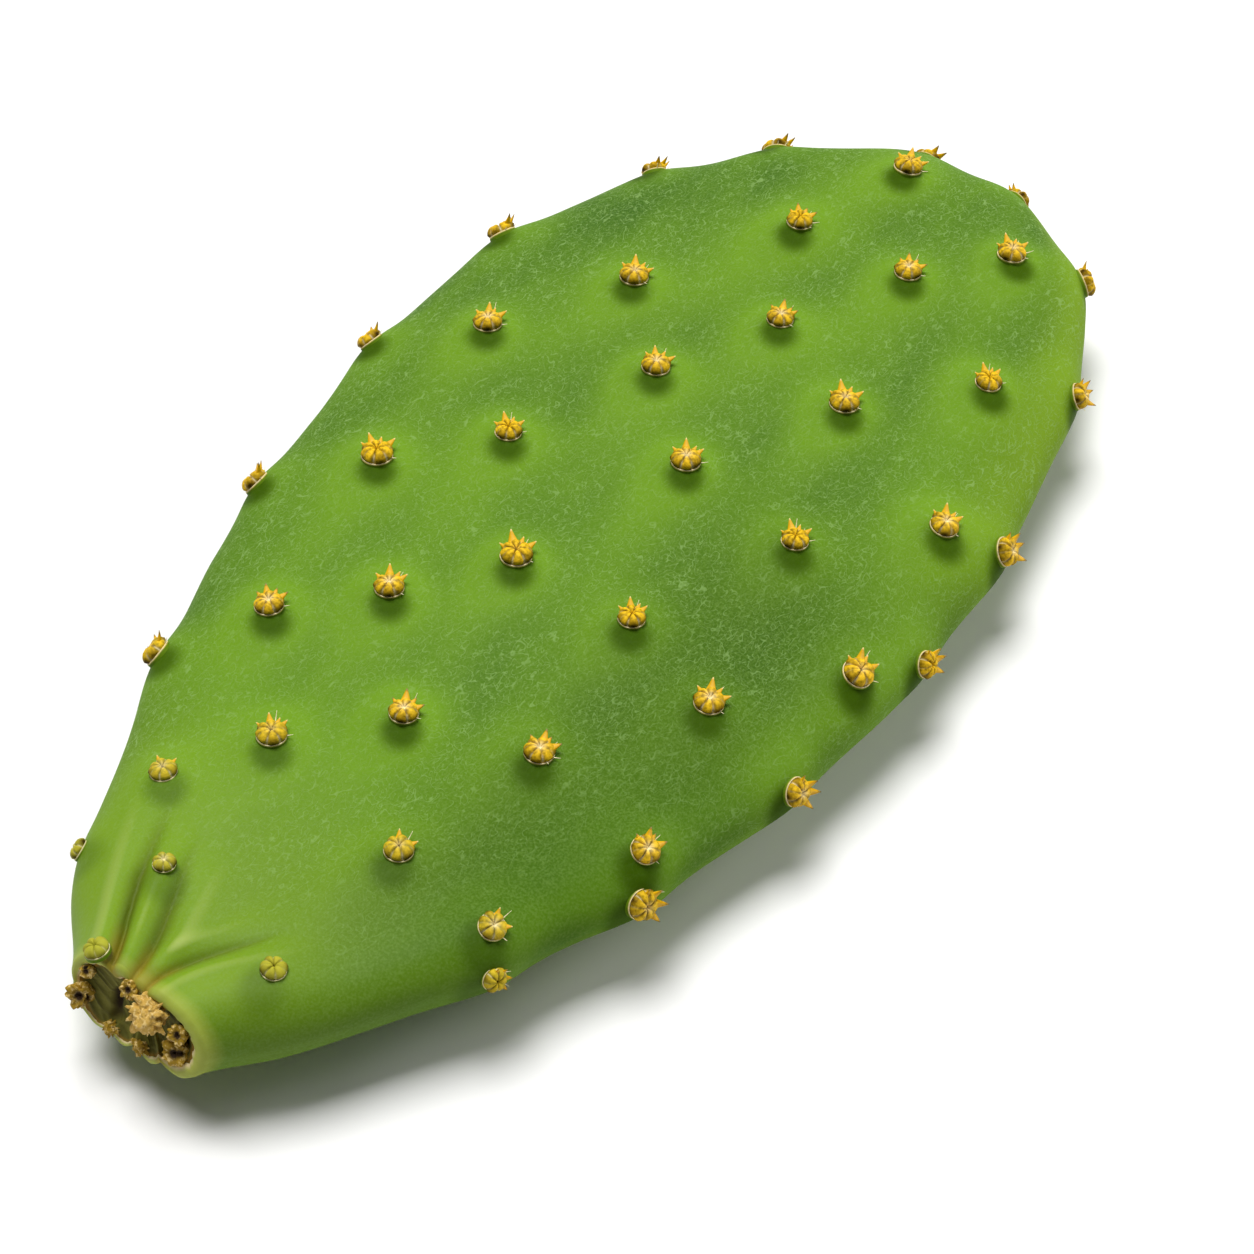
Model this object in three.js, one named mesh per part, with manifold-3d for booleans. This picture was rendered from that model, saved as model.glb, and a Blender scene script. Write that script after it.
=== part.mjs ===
// A prickly pear cactus pad as picked, lying flat on a surface.
// Millimetres. +Y is the way the pad grew, from the cut end to the tip, and +Z is up.
// The origin is under the middle of the pad, on the surface.
import * as THREE from 'three';
import { mergeVertices } from 'three/addons/utils/BufferGeometryUtils.js';
import Module from 'manifold-3d';

// The body: an obovate outline, widest past its middle, with flat faces and a thick round margin
const LENGTH = 195;
const WIDEST_AT = 117;
const HALF_WIDTH = 50;
const NECK_HALF_WIDTH = 13.6;
const SHOULDER = 2.12;
const TIP_BLUNTNESS = 1.07;
const HALF_THICK = 7.6;
const NECK_HALF_THICK = 5;
const THICK_FROM = 90;
const FACE_DOME = 0.1;
const MARGIN_SQUARE = 8;
const NECK_SQUARE = 2.4;
const SQUARE_WIDTH = 34;
const TIP_SQUARE = 10;
// The two ends curl up a little
const CURL = 1.6;
// Where the middle of the pad sways to the right, or to the left where it is negative
const SWAYS = [
  { along: 6, by: -0.8, reach: 9 },
  { along: 55, by: 0.9, reach: 22 },
  { along: 138, by: -1, reach: 20 },
  { along: 190, by: 4.8, reach: 20 },
];
// The cut end is drawn in a little at its rim, and slants back towards the near face
const CUT_PINCH = { by: 2.6, reach: 4 };
const CUT_SLANT = { by: 0.35, reach: 22 };

// Where the pad lies: the origin's place along it and across it, and the height of its mid-plane
const ORIGIN_ALONG = 97.6;
const ORIGIN_ACROSS = -0.6;
const MID_HEIGHT = 11.3;

// The mesh of the body: the step between its rows, the number of columns round it, how far the
// columns crowd towards the margins, and the rings of the scar as shares of its rim
const ROW_STEP = 4.4;
const COLUMNS = 50;
const COLUMN_CROWDING = 0.175;
const SCAR_RINGS = [0.72, 0.4];

// Tubercles: a short peak under each areole, and a long low ridge running back from it
const PEAK = { rise: 1.25, ahead: 3.8, behind: 5.6, across: 4.2, deep: 5 };
const RIDGE = { rise: 0.85, ahead: 6, behind: 17, across: 4.6 };
const MARGIN_RISE = 1.1;
const YOUNG_RISE = 0.6;

// Folds that pinch together at the cut end: places across as shares of the half width
const FOLDS = [
  { face: 1, atCut: -0.46, atEnd: -0.57, reach: 27, depth: 2.1, halfWidth: 1.5 },
  { face: 1, atCut: -0.16, atEnd: -0.36, reach: 25, depth: 1.8, halfWidth: 1.6 },
  { face: 1, atCut: 0.05, atEnd: 0.36, reach: 19, depth: 1.6, halfWidth: 1.4 },
  { face: -1, atCut: 0.42, atEnd: 0.5, reach: 24, depth: 1.8, halfWidth: 1.7 },
  { face: -1, atCut: 0, atEnd: -0.1, reach: 28, depth: 1.9, halfWidth: 1.7 },
  { face: -1, atCut: -0.4, atEnd: -0.52, reach: 20, depth: 1.5, halfWidth: 1.5 },
];

// Areoles stand in ranks from the cut end to the tip. Each rank starts at `first` from the cut.
// Its step and its place across, a share of the half width, run smoothly through three values,
// for the rank's start, middle and end.
const FACE_RANKS = [
  { count: 4, first: 27.9, step: [29.6, 30.4, 31], share: [-0.68, -0.65, -0.68] },
  { count: 5, first: 16.1, step: [24.2, 31, 37], share: [-0.41, -0.34, -0.45] },
  { count: 4, first: 53.1, step: [30.6, 41.5, 37.8], share: [-0.01, -0.12, -0.24] },
  { count: 3, first: 35.2, step: [22.8, 24, 25.6], share: [0.39, 0.44, 0.33] },
  { count: 3, first: 112, step: [32, 36, 40], share: [0.12, 0.03, -0.25] },
  { count: 4, first: 77.8, step: [30.6, 26.4, 28.7], share: [0.69, 0.46, 0.24] },
  { count: 3, first: 11.4, step: [22.2, 21.6, 21], share: [0.58, 0.88, 0.91] },
  { count: 4, first: 94.9, step: [28.7, 27.2, 25.2], share: [0.91, 0.79, 0.57] },
];
// The far face has the same ranks seen from its own side, each set on by part of a step
const FAR_FACE_SHIFT = 0.42;
const LAST_AREOLE = 187;
// Round the margin the areoles are spaced along the rim, measured from the cut. They stand a little
// above its middle: `above` is an angle round the section.
const MARGIN_RANKS = [
  { side: -1, above: 0.2, count: 6, first: 18.5, step: [34, 32.5, 27.5] },
  { side: -1, above: 0.2, count: 2, first: 196.8, step: [24, 24, 24] },
  { side: 1, above: 0.12, count: 4, first: 37, step: [21.7, 27.3, 28.7] },
  { side: 1, above: 0.16, count: 4, first: 138.2, step: [33.3, 24.5, 21.5] },
];
// A spineless nub close to the cut
const NUB = { along: 0.4, share: -0.62, size: 0.8 };

// An areole's crown: lobes round a pit. `turn` is in degrees from the growing direction,
// anticlockwise seen from outside, and `spine` is how far a lobe is drawn out into a spine.
const CROWN = { radius: 2.15, rim: 0.3, pit: 0.7, lobeAt: 1.25, lobeTop: 1.15, root: 2.6 };
const SPINE = { reach: 1.25, rise: 0.75 };
const LOBES = [
  { turn: 40, spine: 1 },
  { turn: 85, spine: 0.55 },
  { turn: 130, spine: 0 },
  { turn: 165, spine: 0 },
  { turn: 215, spine: 0 },
  { turn: 275, spine: 0 },
  { turn: 330, spine: 0.95 },
];
const LEAST_SPINE = 0.25;
const CROWN_LEAN = 0.14;
// Areoles near the cut are smaller, with no spines: they are full grown from this far along
const GROWN_AT = 60;
const YOUNG_SIZE = 0.72;
const SIZE_SPREAD = 0.09;
const TURN_SPREAD = 14;

// Three areoles of the far face bear the weight, so they stand out further and are pressed flat
const FEET = [
  { rank: 0, place: 2, rise: 1.45 },
  { rank: 3, place: 1, rise: 1.85 },
  { rank: 5, place: 2, rise: 1.35 },
];

// The skin rolls in over the rim of the cut: how far it stands out, the shares of the cut's width
// and thickness that it covers, and the turn where it covers most
const LIP = { out: 0.95, across: 0.24, through: 0.46, turn: Math.PI / 4, least: 0.3 };
const LIP_RINGS = [{ inward: 0.4, out: 1 }, { inward: 1, out: 0.1 }];

// The scar inside the lip: its hollow and corky grain, and the callus lumps on it, each at an angle
// round the section and a share of the way out from its middle, standing out of the cut by `out`
const SCAR_HOLLOW = 1.1;
const SCAR_GRAIN = 0.35;
const CALLUS = [
  { round: -2.9, share: 0.84, size: 1.7, out: 0.5 },
  { round: 1.2, share: 0.46, size: 2, out: 0.9 },
  { round: -0.3, share: 0.6, size: 1.7, out: 0.4 },
  { round: 1.85, share: 0.6, size: 1.2, out: 0.3 },
  { round: 0.4, share: 0.6, size: 1.2, out: 0.3 },
  { round: 2.7, share: 0.8, size: 1, out: 0.2 },
  { round: -2.06, share: 0.84, size: 0.9, out: 0.2 },
  { round: -1.5, share: 0.84, size: 0.9, out: 0.2 },
];
const CALLUS_SPREAD = 0.25;

const SKIN = new THREE.MeshStandardMaterial({ name: 'skin', color: 0x6f9a36, roughness: 0.5 });

const wasm = await Module();
wasm.setup();

const clamp01 = (value) => Math.min(1, Math.max(0, value));
const ease = (value) => clamp01(value) ** 2 * (3 - 2 * clamp01(value));
const bell = (value) => Math.exp((-value * value) / 2);
const mix = (from, to, share) => from + (to - from) * share;

// A parabola through three values at 0, a half and 1
const through = ([start, middle, end], u) =>
  start * (1 - u) * (1 - 2 * u) + middle * 4 * u * (1 - u) + end * u * (2 * u - 1);

// The same spread of values between -1 and 1 each time, by steps of the golden ratio
const spread = (index, kind) => ((index * 0.618034 + kind * 0.754878) % 1) * 2 - 1;

// How far a place is past the widest one, from 0 there to 1 at the tip
const towardsTip = (along) => clamp01((along - WIDEST_AT) / (LENGTH - WIDEST_AT));

function halfWidth(along) {
  if (along >= WIDEST_AT) return HALF_WIDTH * (1 - towardsTip(along) ** 2) ** (TIP_BLUNTNESS / 2);
  const back = 1 - along / WIDEST_AT;
  const grown = mix(HALF_WIDTH, NECK_HALF_WIDTH, back ** SHOULDER);
  return grown - CUT_PINCH.by * bell(along / CUT_PINCH.reach);
}

function sway(along) {
  return SWAYS.reduce((sum, one) => sum + one.by * bell((along - one.along) / one.reach), 0);
}

function halfThick(along, share) {
  const grown = mix(NECK_HALF_THICK, HALF_THICK, ease(along / THICK_FROM));
  return grown * (1 - FACE_DOME * share * share) * Math.sqrt(1 - towardsTip(along) ** TIP_SQUARE);
}

// A point of the smooth body: `round` is 0 at the right margin, a quarter turn on the near face,
// half a turn at the left margin and three quarters on the far face. A section's edge is the
// curve |x|^n + |z|^2 = 1, with n larger where the pad is wide.
function bodyPoint(along, round) {
  const share = Math.cos(round);
  const width = halfWidth(along);
  const square = mix(NECK_SQUARE, MARGIN_SQUARE, ease(width / SQUARE_WIDTH));
  const edge = Math.sqrt(Math.max(0, 1 - Math.abs(share) ** square));
  const height = Math.sign(Math.sin(round)) * halfThick(along, share) * edge;
  return new THREE.Vector3(
    share * width + sway(along) - ORIGIN_ACROSS,
    along + CUT_SLANT.by * height * (1 - ease(along / CUT_SLANT.reach)) - ORIGIN_ALONG,
    height + CURL * ((along - WIDEST_AT) / WIDEST_AT) ** 2,
  );
}

// The point with its outward normal, the growing direction and the direction to its left
function bodyFrame(along, round) {
  const d = 0.01;
  const inside = Math.min(along, LENGTH - 2 * d);
  const grow = bodyPoint(inside + d, round).sub(bodyPoint(inside - d, round)).normalize();
  const turn = bodyPoint(inside, round + d).sub(bodyPoint(inside, round - d));
  const out = grow.clone().cross(turn).normalize();
  return { point: bodyPoint(along, round), out, grow, left: out.clone().cross(grow) };
}

// One side's rim walked in small steps, to turn a length along it into a place along the pad
function alongAtRim(rimLength, side) {
  const steps = 600;
  const across = (along) => sway(along) + side * halfWidth(along);
  let walked = 0;
  let last = 0;
  for (let i = 1; i <= steps && walked < rimLength; i += 1) {
    const along = LENGTH * Math.sin((Math.PI / 2) * (i / steps));
    walked += Math.hypot(along - last, across(along) - across(last));
    last = along;
  }
  return last;
}

function rankPlaces({ count, first, step }) {
  const places = [first];
  for (let i = 0; i + 1 < count; i += 1) {
    places.push(places[i] + through(step, count > 2 ? i / (count - 2) : 0));
  }
  return places;
}

function listAreoles() {
  const list = [];
  const add = (along, round, face, own = {}) => {
    const grown = ease(along / GROWN_AT);
    const size = mix(YOUNG_SIZE, 1, grown) * (1 + SIZE_SPREAD * spread(list.length, 1));
    const turn = TURN_SPREAD * spread(list.length, 2);
    list.push({ along, round, face, grown, size, turn, rise: 0, ...bodyFrame(along, round), ...own });
  };
  for (const face of [1, -1]) {
    FACE_RANKS.forEach((rank, r) => {
      rankPlaces(rank).forEach((place, i) => {
        const u = i / (rank.count - 1);
        const along = face > 0 ? place : place + FAR_FACE_SHIFT * through(rank.step, u);
        const round = face * Math.acos(face * through(rank.share, u));
        const foot = FEET.find((one) => face < 0 && one.rank === r && one.place === i);
        if (along < LAST_AREOLE) add(along, round, face, foot ? { rise: foot.rise } : {});
      });
    });
  }
  for (const rank of MARGIN_RANKS) {
    for (const length of rankPlaces(rank)) {
      const round = rank.side > 0 ? rank.above : Math.PI - rank.above;
      add(alongAtRim(length, rank.side), round, 0);
    }
  }
  add(NUB.along, Math.acos(NUB.share), 1, { size: NUB.size, grown: 0 });
  return list;
}

const areoles = listAreoles();

// How far an areole's tubercle lifts the skin at a point: its peak, and on a face its ridge
function tubercle(areole, along, round, { point, out }) {
  const away = point.clone().sub(areole.point);
  const ahead = away.dot(areole.grow);
  const peak = bell(ahead / (ahead > 0 ? PEAK.ahead : PEAK.behind))
    * bell(away.dot(areole.left) / PEAK.across) * bell(away.dot(areole.out) / PEAK.deep);
  const grown = mix(YOUNG_RISE, 1, areole.grown);
  if (areole.face === 0) return MARGIN_RISE * grown * peak;
  const on = along - areole.along + RIDGE.ahead;
  const across = (Math.cos(round) - Math.cos(areole.round)) * halfWidth(along);
  const ridge = bell(on / (on > 0 ? RIDGE.ahead : RIDGE.behind)) * bell(across / RIDGE.across);
  const facing = clamp01(areole.face * out.z);
  return (PEAK.rise + areole.rise) * grown * peak + RIDGE.rise * facing * ridge;
}

function foldDepth(fold, along, round, { out }) {
  const u = Math.min(1, along / fold.reach);
  const middle = mix(fold.atCut, fold.atEnd, ease(u));
  const across = (Math.cos(round) - middle) * halfWidth(along);
  const facing = clamp01(fold.face * out.z * 2);
  return fold.depth * (1 - u * u) * facing * bell(across / (fold.halfWidth * (1 + u)));
}

// How far the skin stands out of the smooth body: peaks and ridges, less the folds
function relief(along, round, frame) {
  const raised = areoles.reduce((sum, areole) => sum + tubercle(areole, along, round, frame), 0);
  return FOLDS.reduce((sum, fold) => sum - foldDepth(fold, along, round, frame), raised);
}

function skinPoint(along, round) {
  const frame = bodyFrame(along, round);
  return frame.point.addScaledVector(frame.out, relief(along, round, frame));
}

// Places of the rows: even steps up to the widest place, then even angles to the tip
function rowPlaces() {
  const lower = Math.round(WIDEST_AT / ROW_STEP);
  const upper = Math.round(((LENGTH - WIDEST_AT) * Math.PI) / 2 / ROW_STEP);
  const places = [];
  for (let i = 0; i < lower; i += 1) places.push((WIDEST_AT * i) / lower);
  for (let i = 0; i < upper; i += 1) {
    places.push(mix(WIDEST_AT, LENGTH, Math.sin((Math.PI / 2) * (i / upper))));
  }
  return places;
}

// Columns run clockwise seen from the cut, and crowd towards the margins, where the section turns
function columnRound(column) {
  const turn = (column / COLUMNS) * 2 * Math.PI;
  return COLUMN_CROWDING * Math.sin(2 * turn) - turn;
}

function solidFrom(points, triangles) {
  const vertProperties = new Float32Array(points.flatMap(({ x, y, z }) => [x, y, z]));
  const triVerts = new Uint32Array(triangles.flat());
  return new wasm.Manifold(new wasm.Mesh({ numProp: 3, vertProperties, triVerts }));
}

// A closed three.js geometry as a solid, with its shared vertices merged
function solidOf(geometry) {
  geometry.deleteAttribute('normal');
  geometry.deleteAttribute('uv');
  const merged = mergeVertices(geometry);
  const vertProperties = new Float32Array(merged.getAttribute('position').array);
  const triVerts = new Uint32Array(merged.getIndex().array);
  return new wasm.Manifold(new wasm.Mesh({ numProp: 3, vertProperties, triVerts }));
}

function band(first, second) {
  const triangles = [];
  for (let c = 0; c < COLUMNS; c += 1) {
    const next = (c + 1) % COLUMNS;
    triangles.push([first + c, first + next, second + c], [first + next, second + next, second + c]);
  }
  return triangles;
}

const fan = (ring, apex) =>
  Array.from({ length: COLUMNS }, (_, c) => [ring + c, ring + ((c + 1) % COLUMNS), apex]);

const flipped = (triangles) => triangles.map(([a, b, c]) => [a, c, b]);

// The middle of the cut's rim
function cutMiddle() {
  const rim = Array.from({ length: COLUMNS }, (_, c) => skinPoint(0, columnRound(c)));
  return rim.reduce((sum, point) => sum.add(point), new THREE.Vector3()).divideScalar(COLUMNS);
}

// A point of the lip, which runs from the rim of the cut at inward 0 to its own inner edge at 1
function lipPoint(rim, middle, round, { inward, out }) {
  const rolled = mix(LIP.least, 1, (1 + Math.cos(round - LIP.turn)) / 2);
  return new THREE.Vector3(
    mix(rim.x, middle.x, LIP.across * rolled * inward),
    rim.y - LIP.out * rolled * out,
    mix(rim.z, middle.z, LIP.through * rolled * inward),
  );
}

// The body: rows of skin points, closed by a pole at the tip and by the lip and scar at the cut
function padBody() {
  const rows = rowPlaces();
  const points = [];
  for (const along of rows) {
    for (let c = 0; c < COLUMNS; c += 1) points.push(skinPoint(along, columnRound(c)));
  }
  const triangles = rows.slice(1).flatMap((_, r) => band(r * COLUMNS, (r + 1) * COLUMNS));
  const tip = points.push(bodyPoint(LENGTH, 0)) - 1;
  triangles.push(...fan((rows.length - 1) * COLUMNS, tip));

  const middle = cutMiddle();
  let outer = 0;
  let rim = points.slice(0, COLUMNS);
  const lips = LIP_RINGS.map((ring) => rim.map((point, c) => lipPoint(point, middle, columnRound(c), ring)));
  for (const lip of lips) {
    const inner = points.length;
    points.push(...lip);
    triangles.push(...flipped(band(outer, inner)));
    outer = inner;
    rim = lip;
  }
  for (const share of SCAR_RINGS) {
    const inner = points.length;
    rim.forEach((point, c) => {
      const deeper = SCAR_HOLLOW * (1 - share) + SCAR_GRAIN * spread(c, 3);
      points.push(middle.clone().lerp(point, share).add(new THREE.Vector3(0, deeper, 0)));
    });
    triangles.push(...flipped(band(outer, inner)));
    outer = inner;
  }
  middle.y += SCAR_HOLLOW * (1 - SCAR_RINGS.at(-1));
  triangles.push(...flipped(fan(outer, points.push(middle) - 1)));
  return solidFrom(points, triangles);
}

// One crown: valleys between the lobes, a pit in the middle, a top on each lobe, a tip on each
// spine, and a root that narrows to a point below the skin
function crown(areole) {
  const { along, round, point, out, grow, size, grown } = areole;
  const seat = point.clone().addScaledVector(out, relief(along, round, areole));
  const up = out.clone().addScaledVector(grow, CROWN_LEAN).normalize();
  const left = up.clone().cross(grow).normalize();
  const ahead = left.clone().cross(up);
  const place = (degrees, radius, height) => {
    const angle = ((degrees + areole.turn) * Math.PI) / 180;
    return seat.clone()
      .addScaledVector(ahead, Math.cos(angle) * radius * size)
      .addScaledVector(left, Math.sin(angle) * radius * size)
      .addScaledVector(up, height * size);
  };
  const count = LOBES.length;
  const points = LOBES.map(({ turn }, i) => {
    const next = i + 1 < count ? LOBES[i + 1].turn : LOBES[0].turn + 360;
    return place((turn + next) / 2, CROWN.radius, CROWN.rim);
  });
  const pit = points.push(place(0, 0, CROWN.pit)) - 1;
  const root = points.push(place(0, 0, -CROWN.root / size)) - 1;
  const triangles = [];
  LOBES.forEach(({ turn, spine }, i) => {
    const before = (i + count - 1) % count;
    const drawn = spine * grown;
    const top = points.push(place(turn, CROWN.lobeAt, CROWN.lobeTop)) - 1;
    triangles.push([pit, before, top], [pit, top, i], [before, root, i]);
    if (drawn < LEAST_SPINE) {
      triangles.push([before, i, top]);
      return;
    }
    const reach = CROWN.radius + SPINE.reach * drawn;
    const tip = points.push(place(turn, reach, CROWN.lobeTop + SPINE.rise * drawn)) - 1;
    triangles.push([before, tip, top], [tip, i, top], [before, i, tip]);
  });
  return solidFrom(points, triangles);
}

// A callus lump: a rough icosahedron pressed into the scar
function callusLump({ round, share, size, out }, index) {
  const lump = new THREE.IcosahedronGeometry(size, 0);
  lump.deleteAttribute('normal');
  lump.deleteAttribute('uv');
  const rough = mergeVertices(lump);
  const corners = rough.getAttribute('position');
  const corner = new THREE.Vector3();
  for (let i = 0; i < corners.count; i += 1) {
    corner.fromBufferAttribute(corners, i);
    corner.multiplyScalar(1 + CALLUS_SPREAD * spread(index * corners.count + i, 4));
    corners.setXYZ(i, corner.x, corner.y, corner.z);
  }
  const seat = cutMiddle().lerp(skinPoint(0, round), share);
  return solidOf(rough.translate(seat.x, seat.y - out, seat.z));
}

// The surface that the pad lies on, as a block that takes off what would reach below it
function surfaceBlock() {
  const side = 2 * LENGTH;
  return solidOf(new THREE.BoxGeometry(side, side, side).translate(0, 0, -MID_HEIGHT - side / 2));
}

function geometryOf(solid) {
  const { vertProperties, triVerts } = solid.getMesh();
  const geometry = new THREE.BufferGeometry();
  geometry.setAttribute('position', new THREE.BufferAttribute(vertProperties, 3));
  geometry.setIndex(new THREE.BufferAttribute(triVerts, 1));
  geometry.computeVertexNormals();
  return geometry;
}

const grownOn = [...areoles.map(crown), ...CALLUS.map(callusLump)];
const whole = grownOn.reduce((solid, piece) => solid.add(piece), padBody());

const pad = new THREE.Mesh(geometryOf(whole.subtract(surfaceBlock())), SKIN);
pad.name = 'pad';
pad.position.z = MID_HEIGHT;

const group = new THREE.Group();
group.add(pad);

export default group;
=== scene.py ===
"""A prickly pear cactus pad as picked, lying flat: skin, areoles with their spines, and the corky cut."""
from math import cos, pi, radians, sin

import bpy
import numpy as np
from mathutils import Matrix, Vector


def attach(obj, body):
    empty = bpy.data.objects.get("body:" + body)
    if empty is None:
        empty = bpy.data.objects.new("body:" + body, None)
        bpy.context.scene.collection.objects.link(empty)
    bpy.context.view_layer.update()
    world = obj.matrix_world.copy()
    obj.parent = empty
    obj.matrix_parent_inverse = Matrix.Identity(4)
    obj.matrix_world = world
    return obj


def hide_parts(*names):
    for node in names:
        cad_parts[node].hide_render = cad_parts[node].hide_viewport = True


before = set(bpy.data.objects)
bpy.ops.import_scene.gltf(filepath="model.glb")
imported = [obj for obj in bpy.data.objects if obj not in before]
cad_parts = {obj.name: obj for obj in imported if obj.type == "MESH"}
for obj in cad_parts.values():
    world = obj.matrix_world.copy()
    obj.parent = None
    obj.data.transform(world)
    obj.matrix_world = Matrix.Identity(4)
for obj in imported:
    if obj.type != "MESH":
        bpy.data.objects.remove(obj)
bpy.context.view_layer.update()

MM = 0.001

# Sizes and places are in millimetres. +Y is the way the pad grew, from the cut end to the tip.

# The body: an obovate outline, widest past its middle, with flat faces and a thick round margin
LENGTH = 195
WIDEST_AT = 117
HALF_WIDTH = 50
NECK_HALF_WIDTH = 13.6
SHOULDER = 2.12
TIP_BLUNTNESS = 1.07
HALF_THICK = 7.6
NECK_HALF_THICK = 5
THICK_FROM = 90
FACE_DOME = 0.1
MARGIN_SQUARE = 8
NECK_SQUARE = 2.4
SQUARE_WIDTH = 34
TIP_SQUARE = 10
CURL = 1.6
# Where the middle of the pad sways to one side: place along, how far, and reach
SWAYS = [(6, -0.8, 9), (55, 0.9, 22), (138, -1, 20), (190, 4.8, 20)]
CUT_PINCH, CUT_PINCH_REACH = 2.6, 4
CUT_SLANT, CUT_SLANT_REACH = 0.35, 22
# The skin rolls in over the rim of the cut: how far it stands out, the shares of the cut's width and
# thickness that it covers, and the turn where it covers most. Its section runs through knots. Its edge
# is torn by noises: height, cell and shift.
LIP_OUT, LIP_ACROSS, LIP_THROUGH, LIP_TURN, LIP_LEAST = 0.95, 0.24, 0.46, pi / 4, 0.3
LIP_INWARD = [0, 0.05, 0.18, 0.4, 0.62, 0.82, 0.94, 1]
LIP_OUTWARD = [0, 0.4, 0.8, 1, 0.92, 0.64, 0.34, 0.02]
LIP_TEARS = [(0.16, 0.8, 2.2), (0.1, 2.6, 4.1)]
LIP_ROWS, LIP_STEP = 16, 0.12

# Where the pad lies
ORIGIN_ALONG = 97.6
ORIGIN_ACROSS = -0.6
MID_HEIGHT = 11.3

# Tubercles: a short peak under each areole, and a long low ridge running back from it
PEAK_RISE, PEAK_AHEAD, PEAK_BEHIND, PEAK_ACROSS, PEAK_DEEP = 1.25, 3.8, 5.6, 4.2, 5
RIDGE_RISE, RIDGE_AHEAD, RIDGE_BEHIND, RIDGE_ACROSS = 0.85, 6, 17, 4.6
MARGIN_RISE = 1.1
YOUNG_RISE = 0.6

# Folds that pinch together at the cut end: face, share across at the cut and at the far end, reach,
# depth and half width. Their edges are raised by a share of the depth, some half widths away.
FOLDS = [
    (1, -0.46, -0.57, 27, 2.1, 1.5),
    (1, -0.16, -0.36, 25, 1.8, 1.6),
    (1, 0.05, 0.36, 19, 1.6, 1.4),
    (-1, 0.42, 0.5, 24, 1.8, 1.7),
    (-1, 0, -0.1, 28, 1.9, 1.7),
    (-1, -0.4, -0.52, 20, 1.5, 1.5),
]
FOLD_SHARPNESS = 1.5
FOLD_EDGE, FOLD_EDGE_AT, FOLD_EDGE_WIDTH = 0.22, 1.5, 0.5

# Slow unevenness of the growth, in two sizes: height, cell, shift and how much it is drawn out along
# the pad. It starts a little way from the cut.
UNDULATIONS = [(0.16, 13, 5.3, 0.6), (0.05, 4.5, 1.7, 1)]
UNDULATION_FROM = 8

# Ranks of areoles on a face: count, first place along, and then the step and the share across, each
# running smoothly through three values
FACE_RANKS = [
    (4, 27.9, (29.6, 30.4, 31), (-0.68, -0.65, -0.68)),
    (5, 16.1, (24.2, 31, 37), (-0.41, -0.34, -0.45)),
    (4, 53.1, (30.6, 41.5, 37.8), (-0.01, -0.12, -0.24)),
    (3, 35.2, (22.8, 24, 25.6), (0.39, 0.44, 0.33)),
    (3, 112, (32, 36, 40), (0.12, 0.03, -0.25)),
    (4, 77.8, (30.6, 26.4, 28.7), (0.69, 0.46, 0.24)),
    (3, 11.4, (22.2, 21.6, 21), (0.58, 0.88, 0.91)),
    (4, 94.9, (28.7, 27.2, 25.2), (0.91, 0.79, 0.57)),
]
FAR_FACE_SHIFT = 0.42
LAST_AREOLE = 187
# Ranks round the margin: side, how far above its middle, count, first place and step along the rim
MARGIN_RANKS = [
    (-1, 0.2, 6, 18.5, (34, 32.5, 27.5)),
    (-1, 0.2, 2, 196.8, (24, 24, 24)),
    (1, 0.12, 4, 37, (21.7, 27.3, 28.7)),
    (1, 0.16, 4, 138.2, (33.3, 24.5, 21.5)),
]
NUB_ALONG, NUB_SHARE, NUB_SIZE = 0.4, -0.62, 0.8
# Areoles of the far face that bear the weight: rank, place in it, and how much further they rise
FEET = {(0, 2): 1.45, (3, 1): 1.85, (5, 2): 1.35}
# Up to where along the pad areoles are younger, their size there, and how much sizes and turns differ
GROWN_AT = 60
YOUNG_SIZE = 0.72
SIZE_SPREAD = 0.09
TURN_SPREAD = 14

# Crowns: the lobes' turns from the growing direction, in degrees, how deep the seam after each is, and
# the profile from the pit in the middle, over the lobes and down to a narrow gap, and over the rim
# into the skin. Places on the profile are given by its knots, counted from 0.
CROWN_RADIUS = 2.15
CROWN_LEAN = 0.14
CROWN_TOP = 2.0
LOBE_TURNS = np.array([40, 85, 130, 165, 215, 275, 330.0])
SEAM_DEPTHS = np.array([1, 1, 0.2, 1, 1, 0.25, 1])
CROWN_RADII = [0, 0.14, 0.24, 0.5, 0.95, 1.32, 1.58, 1.74, 1.83, 1.88, 1.94, 2.0, 2.08, 2.14, 2.18]
CROWN_HEIGHTS = [0.86, 0.94, 1.08, 1.14, 1.16, 1.1, 0.86, 0.56, 0.26, 0.06, 0.04, 0.18, 0.2, 0.02, -0.6]
LOBES_FROM, LOBES_RISE, LOBES_TO, LOBES_FALL = 1.5, 2, 9, 1.8
LOBE_BULGE = 0.46
LOBE_SPREAD, LOBE_TURN_SPREAD = 0.22, 6
# Marks on a crown: the knot in the middle of each and its reach in knots, and then how far they reach
# across a lobe, from its seams or its ridge. The moat, the grooves and the lobes' flanks get painted
# shade.
KNOB, GROOVE, FOOT, MOAT, RIM = (1.4, 1.1), (3.6, 1.6), (7.6, 1.4), (9.3, 0.8), (11.6, 0.75)
SEAM_ACROSS, GROOVE_ACROSS, FOOT_ACROSS, MOAT_ACROSS, FLANK_ACROSS = 0.05, 0.07, 0.32, 0.42, 0.27
PIT_TO, PIT_FADE = 1.0, 0.9
SEAM_FROM, SEAM_RISE, SEAM_TO = 4.2, 1.6, 10
SKIRT_FROM, SKIRT_RISE = 12.4, 0.8
# How pale the seams are, and how dark the painted shade in the grooves and in the moat inside the rim
SEAM_PALE, GROOVE_PAINTED_SHADE, MOAT_PAINTED_SHADE = 0.65, 0.5, 0.85

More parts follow.
